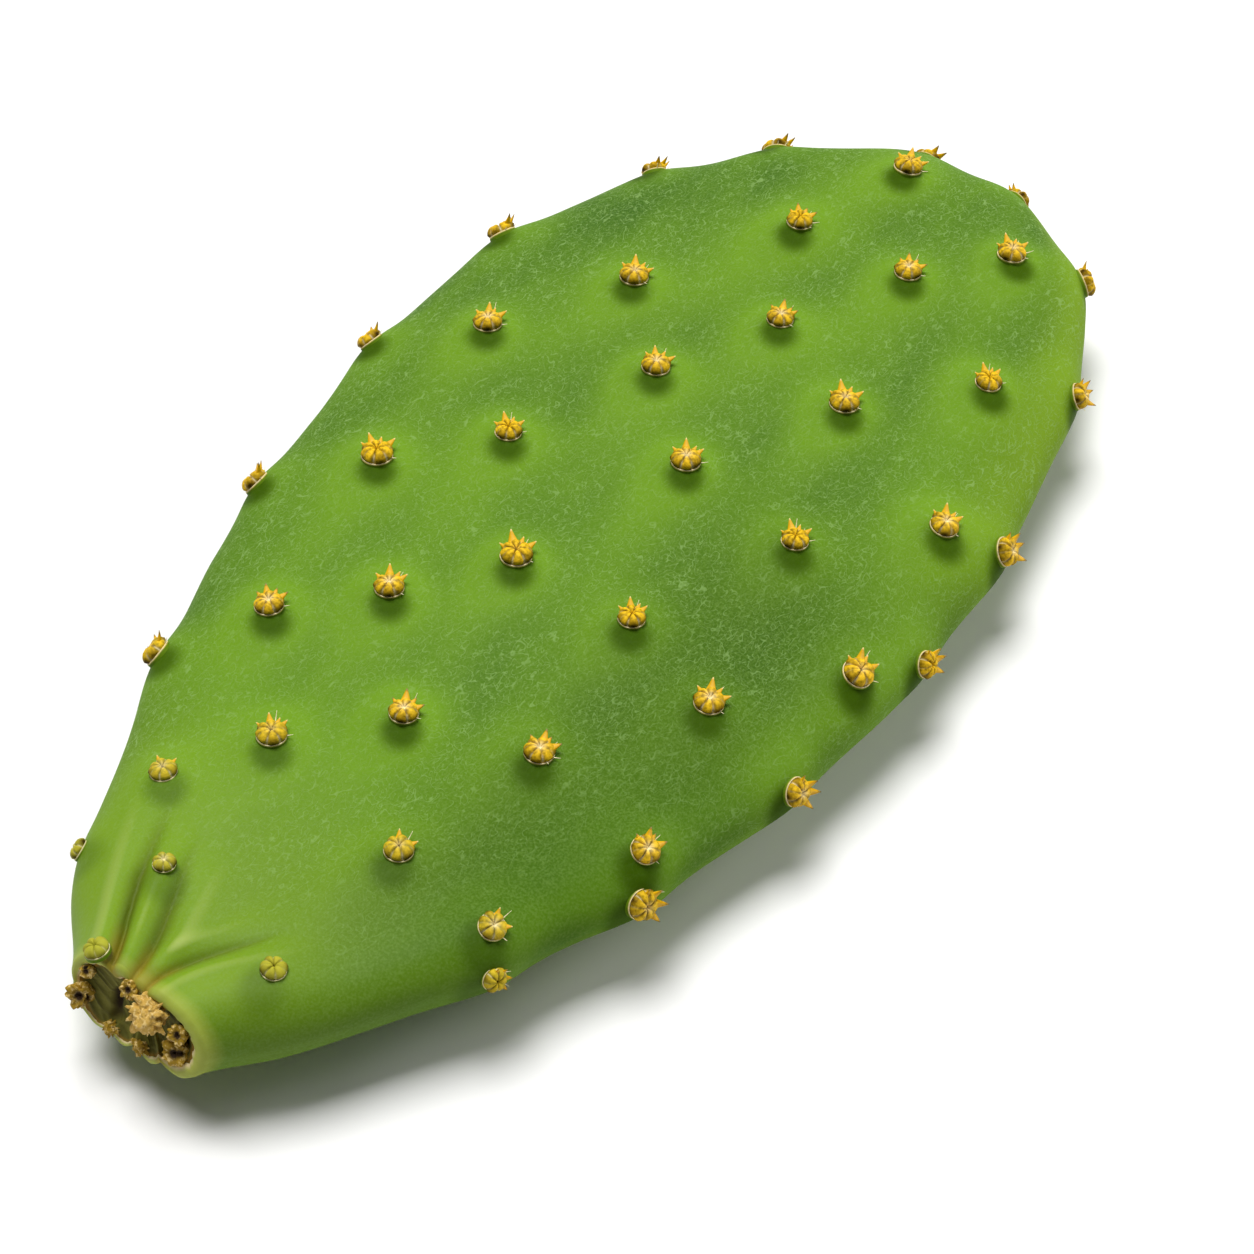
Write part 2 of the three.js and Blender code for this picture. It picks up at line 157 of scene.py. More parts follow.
# Spines drawn out of the lobes: turn, size, and how far the tip stands above the crown; on the faces
# and then on the margin
FACE_SPINES = [(40, 1, 0.7), (330, 0.95, 0.3), (86, 0.42, 0.2), (6, 0.45, 0.3)]
MARGIN_SPINES = [(20, 1, 0.8), (338, 0.95, 0.9), (292, 0.9, 0.9), (62, 0.6, 0.6)]
SPINE_SPREAD, SPINE_TURN_SPREAD = 0.16, 7
LEAST_SPINE = 0.3
# A spine's curve by radius and height, and its half widths at the foot and the tip. The smallest
# spines are slimmer by a share.
SPINE_FROM, SPINE_REACH = 0.75, 0.8
SPINE_LOW, SPINE_HIGH, SPINE_BEND = 0.55, 1.15, 1.5
SPINE_FOOT, SPINE_TIP, SPINE_FLATNESS, SPINE_HOLLOW = 1.05, 0.07, 0.68, 0.95
SLIM_SPINE = 0.6
# A painted highlight along its top, by angle, width and strength, and its burnt tip: from where, how
# fast and how dark
HIGHLIGHT_AT, HIGHLIGHT_WIDTH, HIGHLIGHT_PALE = pi * 0.55, 0.3, 0.12
BURNT_FROM, BURNT_RISE, BURNT_DARK = 0.82, 0.12, 0.8
# Bristles at the rim: turn, length and lift
BRISTLES = [(292, 1.5, 0.35), (268, 1.1, 0.2), (12, 1.6, 0.9), (352, 1.2, 0.6)]
BRISTLE_SPREAD, BRISTLE_TURN_SPREAD = 0.3, 14
BRISTLED_FROM = 0.5
BRISTLE_FROM, BRISTLE_LOW, BRISTLE_BEND = 1.75, 0.2, 1.4
BRISTLE_FOOT, BRISTLE_TIP = 0.12, 0.03

# The scar inside the lip: how far it is hollowed, its fibres and its pits, and the shares of the way in
# where the pits reach full depth and the golden crust ends
SCAR_HOLLOW, FIBRE_RISE, PIT_DEPTH = 1.1, 0.2, 1.6
FIBRE_CELL, FIBRE_STRETCH, FIBRE_FLATNESS = 0.5, 0.16, 0.3
PIT_CELL, PIT_STRETCH, PIT_LEVEL = 1.9, 0.7, 0.2
PITS_INSIDE, CRUST_INSIDE = 0.25, 0.1
# Callus: angle round the section, share of the way out from its middle, size, how far it stands out
# of the cut, and whether it is a hollow scab or a solid crumb
CALLUS = [
    (-2.9, 0.84, 1.7, 0.5, True),
    (1.2, 0.46, 2, 0.9, False),
    (-0.3, 0.6, 1.7, 0.4, True),
    (1.85, 0.6, 1.2, 0.3, True),
    (0.4, 0.6, 1.2, 0.3, True),
    (2.7, 0.8, 1, 0.2, True),
    (-2.06, 0.84, 0.9, 0.2, False),
    (-1.5, 0.84, 0.9, 0.2, False),
]
CALLUS_AXIS = np.array([0.2, -0.8, 0.56])
# A lump's noises: height, cell, and how far each lump is shifted from the last. Then the planes that
# cut a crumb, and its flakes and the torn edge of a scab: the angle from its axis and the width of the
# band. A scab's dents: on its axis, and beside it as a share of that one.
LUMP_NOISES = [(0.14, 0.36, 3.7), (0.09, 0.16, 5.1)]
CRUMB_PLANES, CRUMB_CUT, CRUMB_MOST = 16, 0.86, 1.2
FLAKES_AT, FLAKES_BAND, FLAKES_RISE = 1.3, 0.35, 0.9
TORN_AT, TORN_BAND, TORN_RISE, TORN_SPREAD = 1.05, 0.22, 0.2, 0.5
DENT_WIDTH, DENT_DEPTH, DENT_RAGGED = 0.5, 0.85, 0.2
SIDE_DENT_LEAN, SIDE_DENT_WIDTH, SIDE_DENT_SHARE = 0.6, 0.42, 0.8

# The darker patch at the foot of each areole, partly darker wax-free skin and partly a painted shadow
# below the tubercle: its direction from there, against the growing direction and against left, its
# distance, its half sizes down, across and through, and how softly it ends
PATCH_TURN = (0.86, 0.51)
PATCH_AT = 2.7
PATCH_SIZE = (2.9, 2.7, 6)
PATCH_END = 1.5
YOUNG_PATCH = 0.3
# Where the skin gets painted shade, on the right margin near the cut and in a broad zone between the
# middle and the right margin, and where the right margin near the tip is yellower and brighter, partly
# its own colour and partly painted light: the share across, or the place along, from where that starts
# to where it is full. A band below the right margin's middle has a painted glow too.
PAINTED_SHADE_ACROSS, PAINTED_SHADE_ALONG = (0.45, 0.95), (84, 34)
PAINTED_DIM_ACROSS, PAINTED_DIM_AT_MARGIN = (0.05, 0.6), (1, 0.8)
PAINTED_DIM_AT_CUT, PAINTED_DIM_AT_TIP = (0, 40), (130, 90)
MARGIN_GLOW_ACROSS, MARGIN_GLOW_ALONG = (0.7, 1), (95, 155)
GLOW_BAND_AROUND, GLOW_BAND_WIDTH, GLOW_BAND_ALONG = -0.5, 0.24, (10, 50)

# Meshes: rows and columns of each form
SKIN_ROWS, SKIN_COLUMNS, COLUMN_CROWDING = 312, 300, 0.15
CROWN_RINGS, FIRST_RING, LOBE_COLUMNS = 17, 0.6, 10
SPINE_RINGS, SPINE_SIDES = 10, 12
BRISTLE_RINGS, BRISTLE_SIDES = 7, 5
SCAR_RINGS, SCAR_MIDDLE = 36, 0.02
LUMP_RINGS, LUMP_SIDES, LUMP_POLE = 48, 64, 0.03

# Camera: the photograph's direction, distance and field of view
VIEW_AZIMUTH, VIEW_ELEVATION = 35, 50
VIEW_DISTANCE = 420
VIEW_TARGET = (12.4, -9.0, 11.3)
FOCAL_LENGTH, SENSOR = 86.1, 36
# Light: the room's strength, and softboxes by turn from the camera and elevation in degrees, distance
# and width in metres, and power. The floor's half size is in metres too.
ROOM_LIGHT = 0.11
SOFTBOXES = {"key": (206, 73, 5, 2.75, 300), "rim": (112, 24, 5, 2, 88)}
FLOOR_HALF = 12.0


def clamp01(value):
    """The value, held between 0 and 1."""
    return np.clip(value, 0.0, 1.0)


def ease(value):
    """From 0 to 1 with a smooth start and end: three squares less two cubes."""
    return clamp01(value) ** 2 * (3 - 2 * clamp01(value))


def rise(value, start, full):
    """Eased from 0 at start to 1 at full, which may be the smaller one."""
    return ease((value - start) / (full - start))


def bell(value):
    """1 at 0, falling off to both sides as a normal curve of deviation 1."""
    return np.exp(-value * value / 2)


def mix(start, end, share):
    """A straight line from start to end."""
    return start + (end - start) * share


def through(values, u):
    """A parabola through three values at 0, a half and 1."""
    start, middle, end = values
    return start * (1 - u) * (1 - 2 * u) + middle * 4 * u * (1 - u) + end * u * (2 * u - 1)


def spread(index, kind):
    """The same spread of values between -1 and 1 each time, by steps of the golden ratio."""
    return ((index * 0.618034 + kind * 0.754878) % 1.0) * 2 - 1


LATTICE_SIZE = 64
LATTICE = np.random.default_rng(11).uniform(-1, 1, (LATTICE_SIZE,) * 3)


def noise(points, cell, shift=0.0):
    """Smooth noise from -1 to 1: seeded values on a cubic lattice with cells of that size, blended by
    eased weights between the eight corners round each point."""
    scaled = points / cell + shift
    base = np.floor(scaled).astype(int)
    weight = ease(scaled - base)
    total = np.zeros(scaled.shape[:-1])
    for corner in np.ndindex(2, 2, 2):
        at = (base + corner) % LATTICE_SIZE
        share = np.prod(np.where(corner, weight, 1 - weight), axis=-1)
        total += LATTICE[at[..., 0], at[..., 1], at[..., 2]] * share
    return total


def unit(vectors):
    """Vectors divided by their lengths."""
    return vectors / np.maximum(np.linalg.norm(vectors, axis=-1, keepdims=True), 1e-12)


def dot(first, second):
    """The sum of the products of two vectors' parts."""
    return (first * second).sum(-1)


# The body

def towards_tip(along):
    """0 up to the widest place, growing evenly to 1 at the tip."""
    return clamp01((along - WIDEST_AT) / (LENGTH - WIDEST_AT))


def half_width(along):
    """Past the widest place the outline is near an ellipse. Before it, it narrows by a power of the
    distance back, less a pinch at the cut."""
    rounded = HALF_WIDTH * (1 - towards_tip(along) ** 2) ** (TIP_BLUNTNESS / 2)
    back = clamp01(1 - along / WIDEST_AT)
    narrowed = mix(HALF_WIDTH, NECK_HALF_WIDTH, back ** SHOULDER)
    narrowed = narrowed - CUT_PINCH * bell(along / CUT_PINCH_REACH)
    return np.where(along >= WIDEST_AT, rounded, narrowed)


def sway(along):
    """How far the middle lies to one side: a sum of bells."""
    return sum(by * bell((along - at) / reach) for at, by, reach in SWAYS)


def half_thick(along, share):
    """Half the thickness: it grows from the cut, falls off a little across, and closes at the tip."""
    grown = mix(NECK_HALF_THICK, HALF_THICK, ease(along / THICK_FROM))
    closing = np.sqrt(np.maximum(0, 1 - towards_tip(along) ** TIP_SQUARE))
    return grown * (1 - FACE_DOME * share * share) * closing


def body_point(along, around):
    """A point of the smooth body. Its section's edge is |x|^n + |z|^2 = 1, with n larger where the pad
    is wide. `around` is 0 at the right margin and a quarter turn on the near face."""
    share = np.cos(around)
    width = half_width(along)
    square = mix(NECK_SQUARE, MARGIN_SQUARE, ease(width / SQUARE_WIDTH))
    edge = np.sqrt(np.maximum(0, 1 - np.abs(share) ** square))
    height = np.sign(np.sin(around)) * half_thick(along, share) * edge
    slant = CUT_SLANT * height * (1 - ease(along / CUT_SLANT_REACH))
    lift = CURL * ((along - WIDEST_AT) / WIDEST_AT) ** 2
    return np.stack([share * width + sway(along) - ORIGIN_ACROSS,
                     along + slant - ORIGIN_ALONG,
                     height + lift], axis=-1)


def body_frame(along, around):
    """The body's outward normal, its growing direction and the direction to that one's left, from
    small differences."""
    small = 0.01
    inside = np.minimum(along, LENGTH - 2 * small)
    grow = unit(body_point(inside + small, around) - body_point(inside - small, around))
    turn = body_point(inside, around + small) - body_point(inside, around - small)
    out = unit(np.cross(grow, turn))
    return out, grow, np.cross(out, grow)


# The areoles

def along_at_rim(rim_length, side):
    """The place along the pad where one side's rim, walked from the cut, has that length."""
    along = LENGTH * np.sin(np.linspace(0, pi / 2, 601))
    across = sway(along) + side * half_width(along)
    walked = np.concatenate([[0], np.cumsum(np.hypot(np.diff(along), np.diff(across)))])
    return float(np.interp(rim_length, walked, along))


def rank_places(count, first, step):
    """The places of one rank, from the first on, by steps that run through three values."""
    places = [first]
    for i in range(count - 1):
        places.append(places[i] + through(step, i / (count - 2) if count > 2 else 0))
    return places


def list_areoles():
    """Every areole's place along and around the pad, its face (0 for the margin) and its extra rise,
    as arrays: the ranks of both faces, then the margin, then a spineless nub close to the cut."""
    rows = []
    for face in (1, -1):
        for r, (count, first, step, share) in enumerate(FACE_RANKS):
            for i, place in enumerate(rank_places(count, first, step)):
                u = i / (count - 1)
                along = place if face > 0 else place + FAR_FACE_SHIFT * through(step, u)
                around = face * np.arccos(face * through(share, u))
                extra = FEET.get((r, i), 0) if face < 0 else 0
                if along < LAST_AREOLE:
                    rows.append((along, around, face, extra))
    for side, above, count, first, step in MARGIN_RANKS:
        for length in rank_places(count, first, step):
            rows.append((along_at_rim(length, side), above if side > 0 else pi - above, 0, 0))
    rows.append((NUB_ALONG, np.arccos(NUB_SHARE), 1, 0))
    return [np.array(column, float) for column in zip(*rows)]


AT_ALONG, AT_AROUND, AT_FACE, AT_RISE = list_areoles()
AREOLES = len(AT_ALONG)
INDEX = np.arange(AREOLES)
GROWN = ease(AT_ALONG / GROWN_AT)
GROWN[-1] = 0
SIZE = mix(YOUNG_SIZE, 1, GROWN) * (1 + SIZE_SPREAD * spread(INDEX, 1))
SIZE[-1] = NUB_SIZE
TURN = TURN_SPREAD * spread(INDEX, 2)
AT_POINT = body_point(AT_ALONG, AT_AROUND)
AT_OUT, AT_GROW, AT_LEFT = body_frame(AT_ALONG, AT_AROUND)


def relief(along, around, point, out):
    """How far the skin stands out of the smooth body. Under each areole is a peak, a product of bells
    along, across and through it, and behind it on a face runs a low ridge. Folds are cut in at the
    narrow end."""
    raised = np.zeros(along.shape)
    width = half_width(along)
    for i in INDEX:
        away = point - AT_POINT[i]
        ahead = dot(away, AT_GROW[i])
        peak = bell(ahead / np.where(ahead > 0, PEAK_AHEAD, PEAK_BEHIND))
        peak *= bell(dot(away, AT_LEFT[i]) / PEAK_ACROSS) * bell(dot(away, AT_OUT[i]) / PEAK_DEEP)
        grown = mix(YOUNG_RISE, 1, GROWN[i])
        if AT_FACE[i] == 0:
            raised += MARGIN_RISE * grown * peak
            continue
        on = along - AT_ALONG[i] + RIDGE_AHEAD
        across = (np.cos(around) - cos(AT_AROUND[i])) * width
        ridge = bell(on / np.where(on > 0, RIDGE_AHEAD, RIDGE_BEHIND)) * bell(across / RIDGE_ACROSS)
        facing = clamp01(AT_FACE[i] * out[..., 2])
        raised += (PEAK_RISE + AT_RISE[i]) * grown * peak + RIDGE_RISE * facing * ridge
    return raised - fold_depth(along, around, out)


def fold_depth(along, around, out):
    """Each fold is a sharp groove that shallows and widens away from the cut, between raised edges."""
    depth_sum = np.zeros(along.shape)
    for face, at_cut, at_end, reach, depth, half in FOLDS:
        u = np.clip(along / reach, 0, 1)
        across = (np.cos(around) - mix(at_cut, at_end, ease(u))) * half_width(along)
        facing = clamp01(face * out[..., 2] * 2)
        apart = np.abs(across) / (half * (1 + u))
        raised_edge = FOLD_EDGE * bell((apart - FOLD_EDGE_AT) / FOLD_EDGE_WIDTH)
        depth_sum += depth * (1 - u * u) * facing * (np.exp(-FOLD_SHARPNESS * apart) - raised_edge)
    return depth_sum


def undulation(point):
    """The growth's slow unevenness: a sum of noises."""
    return sum(height * noise(point * (1, drawn, 1), cell, shift)
               for height, cell, shift, drawn in UNDULATIONS)


def bare_patch_and_shadow_cover(point):
    """How much the dark patches cover, each partly darker skin and partly painted shadow: each is an
    ellipsoid by its areole, eased to nothing outwards.
    """
    cover = np.zeros(point.shape[:-1])
    for i in INDEX:
        away = point - AT_POINT[i]
        ahead, aside = dot(away, AT_GROW[i]), dot(away, AT_LEFT[i])
        below = -PATCH_TURN[0] * ahead - PATCH_TURN[1] * aside
        beside = PATCH_TURN[0] * aside - PATCH_TURN[1] * ahead
        offset = np.stack([below - PATCH_AT, beside, dot(away, AT_OUT[i])], axis=-1) / PATCH_SIZE
        apart = np.sqrt(dot(offset, offset))
        cover = np.maximum(cover, ease(PATCH_END - apart) * mix(YOUNG_PATCH, 1, GROWN[i]))
    return cover


def skin_rows():
    """Places of the rows: even steps up to the widest place, then even angles to the tip."""
    upper_length = (LENGTH - WIDEST_AT) * pi / 2
    lower = round(SKIN_ROWS * WIDEST_AT / (WIDEST_AT + upper_length))
    upper = SKIN_ROWS - lower
    rounded = mix(WIDEST_AT, LENGTH, np.sin(np.linspace(0, pi / 2, upper, endpoint=False)))
    return np.concatenate([np.linspace(0, WIDEST_AT, lower, endpoint=False), rounded])


def skin_columns():
    """Columns run clockwise seen from the cut, a little closer together on the faces."""
    turn = np.linspace(0, 2 * pi, SKIN_COLUMNS, endpoint=False)
    return -(turn + COLUMN_CROWDING * np.sin(2 * turn))


def skin_surface():
    """The skin's points: the smooth body's, moved out by relief and undulation. With them come the
    values that its colour follows: place along, relief, folds, dark patches that are partly painted
    shadow, painted shade on the right margin near the cut and in a broad zone towards it, and a right
    margin near the tip that is yellower and brighter, partly by painted light, with a band of painted
    glow below its middle."""
    along, around = np.meshgrid(skin_rows(), skin_columns(), indexing="ij")
    point = body_point(along, around)
    out = body_frame(along, around)[0]
    raised = relief(along, around, point, out)
    skin = point + out * (raised + undulation(point) * ease(along / UNDULATION_FROM))[..., None]
    share = np.cos(around)
    # The right margin near the tip, yellower and brighter partly by painted light, and a band of painted
    # glow below the margin's middle
    margin = rise(share, *MARGIN_GLOW_ACROSS) * rise(along, *MARGIN_GLOW_ALONG)
    band = bell((around - GLOW_BAND_AROUND) / GLOW_BAND_WIDTH) * rise(along, *GLOW_BAND_ALONG)
    return skin, {
        "along": along,
        "crest": raised,
        "fold": fold_depth(along, around, out),
        "bare_patch_and_shadow": bare_patch_and_shadow_cover(point),
        # Painted shade on the right margin near the cut, and in a broad zone between the middle and the
        # right margin
        "painted_shade": rise(share, *PAINTED_SHADE_ACROSS) * rise(along, *PAINTED_SHADE_ALONG),
        "painted_dimming": (rise(share, *PAINTED_DIM_ACROSS) * rise(share, *PAINTED_DIM_AT_MARGIN)
                   * rise(along, *PAINTED_DIM_AT_TIP) * rise(along, *PAINTED_DIM_AT_CUT)),
        "yellow_margin_and_painted_glow": np.maximum(margin, band),
    }


# Meshes

def ring_faces(rows, columns):
    """Quads between rows of columns that close round."""
    row, column = np.meshgrid(np.arange(rows - 1), np.arange(columns), indexing="ij")
    first = row * columns + column
    beside = row * columns + (column + 1) % columns
    return np.stack([first, beside, beside + columns, first + columns], axis=-1).reshape(-1, 4)


def fan_faces(ring, columns, apex):
    """Triangles from a ring's points to its apex."""
    column = np.arange(columns)
    return np.stack([ring + column, ring + (column + 1) % columns, np.full(columns, apex)], axis=-1)


def repeated_faces(faces, count, points_each):
    """One copy's faces repeated for each copy, one after another."""
    return (faces[None] + (np.arange(count) * points_each)[:, None, None]).reshape(-1, faces.shape[1])


def tube_grid(rings, sides):
    """For tubes' points: how far along each ring lies, from 0 to 1, and the angles round it."""
    v = np.linspace(0, 1, rings)[None, :, None]
    return v, np.linspace(0, 2 * pi, sides, endpoint=False)[None, None]


def tube_faces(rings, sides, count):
    """Faces of closed tubes, one after another: quads round them, and one face on each end."""
    each = rings * sides
    first = np.arange(sides)[None]
    ends = np.concatenate([first[:, ::-1], first + (rings - 1) * sides])
    return [repeated_faces(faces, count, each) for faces in (ring_faces(rings, sides), ends)]


def add_object(name, data):
    """Puts an object into the scene."""
    made = bpy.data.objects.new(name, data)
    bpy.context.scene.collection.objects.link(made)
    return made


def make_piece(name, points, faces, material, attributes):
    """A smooth mesh on the frame's body, its points lifted to where the pad lies and pressed flat at
    the surface below it. Attributes are values for each point that its material reads."""
    placed = points.reshape(-1, 3) + (0, 0, MID_HEIGHT)
    placed[:, 2] = np.maximum(placed[:, 2], 0)
    mesh = bpy.data.meshes.new(name)
    mesh.from_pydata(placed * MM, [], [face for group in faces for face in group.tolist()])
    for key, values in attributes.items():
        layer = mesh.attributes.new(key, "FLOAT", "POINT")
        layer.data.foreach_set("value", np.ascontiguousarray(values, np.float32).ravel())
    mesh.materials.append(material)
    mesh.shade_smooth()
    piece = add_object(name, mesh)
    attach(piece, "root")
    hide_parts("pad")


# The skin

def roll_lip(rim):
    """Rows of the lip from its ragged inner edge to the rim, rolled in towards the rim's middle."""
    around = skin_columns()
    rolled = mix(LIP_LEAST, 1, (1 + np.cos(around - LIP_TURN)) / 2)[None]
    ragged = 1 + sum(height * noise(rim, cell, shift) for height, cell, shift in LIP_TEARS)[None]
    knot = np.linspace(len(LIP_INWARD) - 1, 0, LIP_ROWS, endpoint=False)[:, None]
    inward = np.interp(knot, range(len(LIP_INWARD)), LIP_INWARD) * rolled * ragged
    outward = np.interp(knot, range(len(LIP_INWARD)), LIP_OUTWARD) * rolled * LIP_OUT
    middle = rim.mean(0)
    return np.stack([mix(rim[:, 0], middle[0], LIP_ACROSS * inward),
                     rim[:, 1] - outward,
                     mix(rim[:, 2], middle[2], LIP_THROUGH * inward)], axis=-1)


def build_skin(material):
    """The skin from the inner edge of the lip at the cut to the tip's pole. The lip goes on from the
    rim's values, but for its place along, which counts back, and without relief or patches."""
    skin, values = skin_surface()
    rim = skin[0]
    lip = roll_lip(rim)
    counted = np.linspace(-LIP_ROWS, 0, LIP_ROWS, endpoint=False)[:, None] * LIP_STEP
    on_lip = {"along": counted, "crest": 0.0, "bare_patch_and_shadow": 0.0}
    attributes = {}
    for key, on_skin in values.items():
        first = np.broadcast_to(on_lip.get(key, on_skin[:1]), lip.shape[:2])
        at_tip = LENGTH if key == "along" else 0
        attributes[key] = np.append(np.concatenate([first, on_skin]), at_tip)
    rows = LIP_ROWS + SKIN_ROWS
    tip = body_point(np.array([LENGTH]), np.array([0.0]))
    points = np.concatenate([lip.reshape(-1, 3), skin.reshape(-1, 3), tip])
    cap = fan_faces((rows - 1) * SKIN_COLUMNS, SKIN_COLUMNS, rows * SKIN_COLUMNS)
    make_piece("pad_skin", points, [ring_faces(rows, SKIN_COLUMNS), cap], material, attributes)
    return lip[0], rim


# Crowns, spines and bristles

def crown_frames():
    """Where each crown sits on the skin, and its own directions: ahead, left and up."""
    seat = AT_POINT + AT_OUT * relief(AT_ALONG, AT_AROUND, AT_POINT, AT_OUT)[:, None]
    up = unit(AT_OUT + AT_GROW * CROWN_LEAN)
    left = unit(np.cross(up, AT_GROW))
    return seat, np.cross(left, up), left, up


SEAT, AHEAD, LEFT, UP = crown_frames()


def pressed_heights():
    """How far each crown keeps its height. Those that the pad rests on are pressed flat by the floor,
    each by the ratio of its room over the floor to the height it would take up."""
    room = (SEAT[:, 2] + MID_HEIGHT) / np.maximum(-UP[:, 2], 1e-6)
    return np.where(UP[:, 2] < 0, clamp01(room / (CROWN_TOP * SIZE)), 1)


PRESSED = pressed_heights()
LOBES = len(LOBE_TURNS)
LOBE_INDEX = INDEX[:, None] * LOBES + np.arange(LOBES)
TISSUE_VALUES = ("pale", "dark", "tip", "painted_flank_shade", "skirt", "young")


def tissue_values(shape, **given):
    """What the tissue's colour follows, as values for each point: 0 where it isn't given."""
    return {key: np.broadcast_to(given.get(key, 0.0), shape) for key in TISSUE_VALUES}


def place_on_crowns(angle, radius, height, crowns=INDEX):
    """Points given by angle, radius and height on each crown, in millimetres of a full-grown one. The
    first axis of each array is the crown."""
    extra = (1,) * (angle.ndim - 1)
    turned = angle + np.radians(TURN[crowns]).reshape(-1, *extra)
    size = SIZE[crowns].reshape(-1, *extra)
    lifted = height * PRESSED[crowns].reshape(-1, *extra)
    parts = zip((np.cos(turned) * radius, np.sin(turned) * radius, lifted), (AHEAD, LEFT, UP))
    total = SEAT[crowns].reshape(-1, *extra, 3)
    for amount, direction in parts:
        total = total + (amount * size)[..., None] * direction[crowns].reshape(-1, *extra, 3)
    return total


def lobe_angles(share):
    """The angle of each crown's columns, in degrees. A lobe reaches halfway to its neighbours."""
    turns = LOBE_TURNS[None] + LOBE_TURN_SPREAD * spread(LOBE_INDEX, 5)
    edges = (turns + np.roll(turns, -1, axis=1)) / 2
    edges[:, -1] += 180
    edges = np.concatenate([edges[:, -1:] - 360, edges], axis=1)
    return mix(edges[:, :-1, None], edges[:, 1:, None], share).reshape(AREOLES, 1, -1)


def lobe_bulge(across):
    """How far each column bulges, the depth of the seam next to it, and its lobe's own swelling. The
    bulge is the root of a sine across the lobe, less deep at a shallow seam, times the swelling, which
    runs over into the neighbour's at the seam."""
    before, after = np.repeat([np.roll(SEAM_DEPTHS, 1), SEAM_DEPTHS], LOBE_COLUMNS, axis=1)
    depth = np.where(across < 0.5, before, after)
    own = 1 + LOBE_SPREAD * spread(LOBE_INDEX, 6)
    swell, left, right = (np.repeat(np.roll(own, by, axis=1), LOBE_COLUMNS, axis=1)[:, None]
                          for by in (0, 1, -1))
    beside = (swell + np.where(across < 0.5, left, right)) / 2
    bulge = (1 - depth * (1 - np.sqrt(np.sin(pi * across)))) * mix(swell, beside, abs(2 * across - 1))
    return bulge, depth, swell


def crown_points(angle, bulge):
    """Rings of points over each crown. The profile is interpolated between its knots, and pushed out
    along its normal by the lobes' bulge."""
    knots = np.arange(len(CROWN_RADII))
    ring = np.linspace(FIRST_RING, knots[-1], CROWN_RINGS)[None, :, None]
    radius, height = np.interp(ring, knots, CROWN_RADII), np.interp(ring, knots, CROWN_HEIGHTS)
    outward, upward = -np.gradient(height, axis=1), np.gradient(radius, axis=1)
    length = np.hypot(outward, upward)
    on_lobes = ease((ring - LOBES_FROM) / LOBES_RISE) * ease((LOBES_TO - ring) / LOBES_FALL)
    push = LOBE_BULGE * bulge * on_lobes
    radius = radius + push * outward / length
    height = height + push * upward / length
    return ring, place_on_crowns(np.radians(angle) + 0 * radius, radius, height)


def near(ring, mark):
    """A bell over the profile's knots round a mark."""
    knot, reach = mark
    return bell((ring - knot) / reach)


def crown_colours(ring, across, depth, swell):
    """What the tissue's colour follows on the crowns, each a bell or a ramp over the profile's knots
    and across the lobes. The rim and the seams are pale, and on some crowns the knob in the middle.
    The lobes' feet are dark, and on other crowns the pit. The moat inside the rim and the grooves are
    darkened by painted shade, and the lobes' flanks by a milder painted shade."""
    to_seam, to_ridge = np.minimum(across, 1 - across), across - 0.5
    kind, grown = spread(INDEX, 14)[:, None, None], GROWN[:, None, None]
    on_seam = ease((ring - SEAM_FROM) / SEAM_RISE) * (ring < SEAM_TO)
    seam = SEAM_PALE * depth * bell(to_seam / SEAM_ACROSS) * on_seam
    knob = near(ring, KNOB) * clamp01(0.85 - 1.5 * kind)
    # Painted shade in the moat inside the rim
    moat = MOAT_PAINTED_SHADE * near(ring, MOAT) * bell(to_ridge / MOAT_ACROSS)
    foot = near(ring, FOOT) * bell(to_ridge / FOOT_ACROSS) * clamp01(4 * (swell - 0.86))
    # Painted shade in the grooves between the lobes
    groove = GROOVE_PAINTED_SHADE * depth * bell(to_seam / GROOVE_ACROSS) * near(ring, GROOVE)
    pit = (1 - clamp01((ring - PIT_TO) / PIT_FADE)) * clamp01(0.6 + 2 * kind)
    dark = np.maximum(np.maximum(moat, foot), np.maximum(groove, pit))
    return {
        "pale": np.maximum(near(ring, RIM), np.maximum(seam, knob) * clamp01(3 * grown + 0.4)),
        "dark": dark * clamp01(3 * grown + 0.6),
        # Painted shade on the lobes' flanks, which leaves their ridges lighter
        "painted_flank_shade": 1 - bell(to_ridge / FLANK_ACROSS),
        "skirt": ease((ring - SKIRT_FROM) / SKIRT_RISE),
        "young": 1 - grown,
    }


def build_crowns(material):
    """Each crown is a knob of seven bulging lobes round a pit, inside a thin rim. Between the lobes run
    narrow seams, two of them shallow."""
    share = np.arange(LOBE_COLUMNS) / LOBE_COLUMNS
    across = np.tile(share, LOBES)[None, None]
    bulge, depth, swell = lobe_bulge(across)
    ring, points = crown_points(lobe_angles(share), bulge)
    rings, columns = points.shape[1:3]
    centre = np.zeros((AREOLES, 1))
    pit = place_on_crowns(centre, centre, centre + CROWN_HEIGHTS[0])
    each = rings * columns + 1
    quads = repeated_faces(ring_faces(rings, columns)[:, ::-1], AREOLES, each)
    cap = repeated_faces(fan_faces(0, columns, rings * columns), AREOLES, each)
    at_pit = {"young": (1 - GROWN)[:, None]}
    values = tissue_values(points.shape[:3], **crown_colours(ring, across, depth, swell))
    for key, on_rings in values.items():
        values[key] = np.concatenate([on_rings.reshape(AREOLES, -1), at_pit.get(key, centre)], axis=1)
    make_piece("areole_crowns", np.concatenate([points.reshape(AREOLES, -1, 3), pit], axis=1),
               [quads, cap], material, values)


